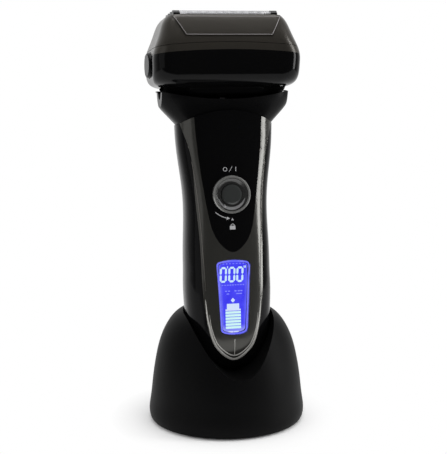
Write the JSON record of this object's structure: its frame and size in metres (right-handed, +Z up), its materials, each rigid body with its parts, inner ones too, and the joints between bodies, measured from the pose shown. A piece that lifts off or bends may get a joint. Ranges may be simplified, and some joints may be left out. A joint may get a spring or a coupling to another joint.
{
  "type": "foil shaver",
  "caption": "Foil shaver with a pivoting head and a backlit display, leaning back in a bell-shaped charging stand.",
  "frame": {"origin": "on the table, under the middle of the stand", "axes": "+Z up, the shaver's front faces -Y, +X to the right seen from the front"},
  "size_m": [0.0742, 0.0722, 0.1922],
  "materials": {
    "satin_black": "satin moulded plastic",
    "rubber_black": "matt elastomer",
    "steel": "plain steel",
    "board_green": "solder mask",
    "inner_plastic": "moulded plastic",
    "contact_brass": "plated",
    "gloss_black": "high gloss",
    "head_grey": "moulded plastic",
    "gunmetal": "smoked metallised gloss",
    "dark_chrome": "metallised dark chrome",
    "release_black": "gloss with a grey rim",
    "clear_window": "clear",
    "lcd_blue": "backlit blue",
    "backlight_white": "diffuser",
    "cell_sleeve": "printed sleeve",
    "core_iron": "laminated",
    "copper": "enamelled wire",
    "foil_steel": "perforated foil",
    "blade_steel": "ground edges"
  },
  "bodies": {
    "stand": {"stand_shell": "satin_black", "stand_base_plate": "satin_black", "stand_foot_1": "rubber_black", "stand_foot_2": "rubber_black", "stand_foot_3": "rubber_black", "stand_foot_4": "rubber_black", "stand_screws": "steel", "stand_ballast": "steel", "stand_board": "board_green", "stand_plug": "inner_plastic", "stand_contacts": "contact_brass", "dc_jack": "inner_plastic", "dc_jack_pin": "contact_brass"},
    "handle": {"case_front": "gloss_black", "case_rear": "gloss_black", "case_screws": "steel", "fascia_trim": "gunmetal", "control_panel": "gloss_black", "display_window": "clear_window", "grip_pad": "rubber_black", "button_bezel": "dark_chrome", "lcd_panel": "lcd_blue", "lcd_backlight": "backlight_white", "circuit_board": "board_green", "tact_switch": "inner_plastic", "chassis": "inner_plastic", "battery_cell_left": "cell_sleeve", "battery_cell_right": "cell_sleeve", "battery_link": "steel", "motor_core": "core_iron", "motor_coil": "copper", "drive_springs": "steel", "charging_socket": "inner_plastic", "socket_pins": "contact_brass", "neck_collar": "gloss_black", "drive_seal": "rubber_black"},
    "drive": {"drive_magnets": "steel", "drive_mover": "inner_plastic", "drive_pin": "steel"},
    "lock_ring": {"lock_ring": "dark_chrome"},
    "power_button": {"power_button": "dark_chrome"},
    "head": {"head_housing": "gloss_black", "head_chassis": "head_grey", "pivot_pin_left": "steel", "pivot_pin_right": "steel", "release_spring_left": "steel", "release_spring_right": "steel"},
    "release_left": {"release_button_left": "release_black"},
    "release_right": {"release_button_right": "release_black"},
    "cassette": {"foil_frame": "gunmetal", "foil_carrier": "gloss_black", "foil_1": "foil_steel", "foil_2": "foil_steel", "foil_3": "foil_steel", "foil_4": "foil_steel"},
    "cutters": {"cutter_carriage": "inner_plastic", "inner_blade_1": "blade_steel", "inner_blade_2": "blade_steel", "inner_blade_3": "blade_steel", "inner_blade_4": "blade_steel"}
  },
  "joints": [
    {"name": "shaver_lift", "type": "slide", "parent": "stand", "child": "handle", "axis": [0, 0.1045, 0.9945], "range_m": [0, 0.06]},
    {"name": "head_nod", "type": "hinge", "parent": "handle", "child": "head", "pos_m": [0, 0.01074, 0.16623], "axis": [1, 0, 0], "range_deg": [-8, 8], "stiffness_Nm_per_rad": 0.3},
    {"name": "cassette_lift", "type": "slide", "parent": "head", "child": "cassette", "axis": [0, 0.1045, 0.9945], "range_m": [0, 0.03]},
    {"name": "drive_stroke", "type": "slide", "parent": "handle", "child": "drive", "axis": [1, 0, 0], "range_m": [-0.0012, 0.0012], "stiffness_N_per_m": 500, "deforming": ["drive_springs", "drive_seal"]},
    {"name": "cutter_stroke", "type": "slide", "parent": "head", "child": "cutters", "axis": [1, 0, 0], "range_m": [-0.0012, 0.0012]},
    {"name": "power_press", "type": "slide", "parent": "handle", "child": "power_button", "axis": [0, 0.9945, -0.1045], "range_m": [0, 0.0008], "stiffness_N_per_m": 600},
    {"name": "lock_turn", "type": "hinge", "parent": "handle", "child": "lock_ring", "pos_m": [0, -0.01035, 0.10912], "axis": [0, -0.9945, 0.1045], "range_deg": [0, 35]},
    {"name": "release_left_press", "type": "slide", "parent": "head", "child": "release_left", "axis": [1, 0, 0], "range_m": [0, 0.0012], "stiffness_N_per_m": 800, "deforming": ["release_spring_left"]},
    {"name": "release_right_press", "type": "slide", "parent": "head", "child": "release_right", "axis": [-1, 0, 0], "range_m": [0, 0.0012], "stiffness_N_per_m": 800, "deforming": ["release_spring_right"]}
  ],
  "couplings": [
    {"joint": "cutter_stroke", "follows": "drive_stroke", "ratio": 1}
  ]
}
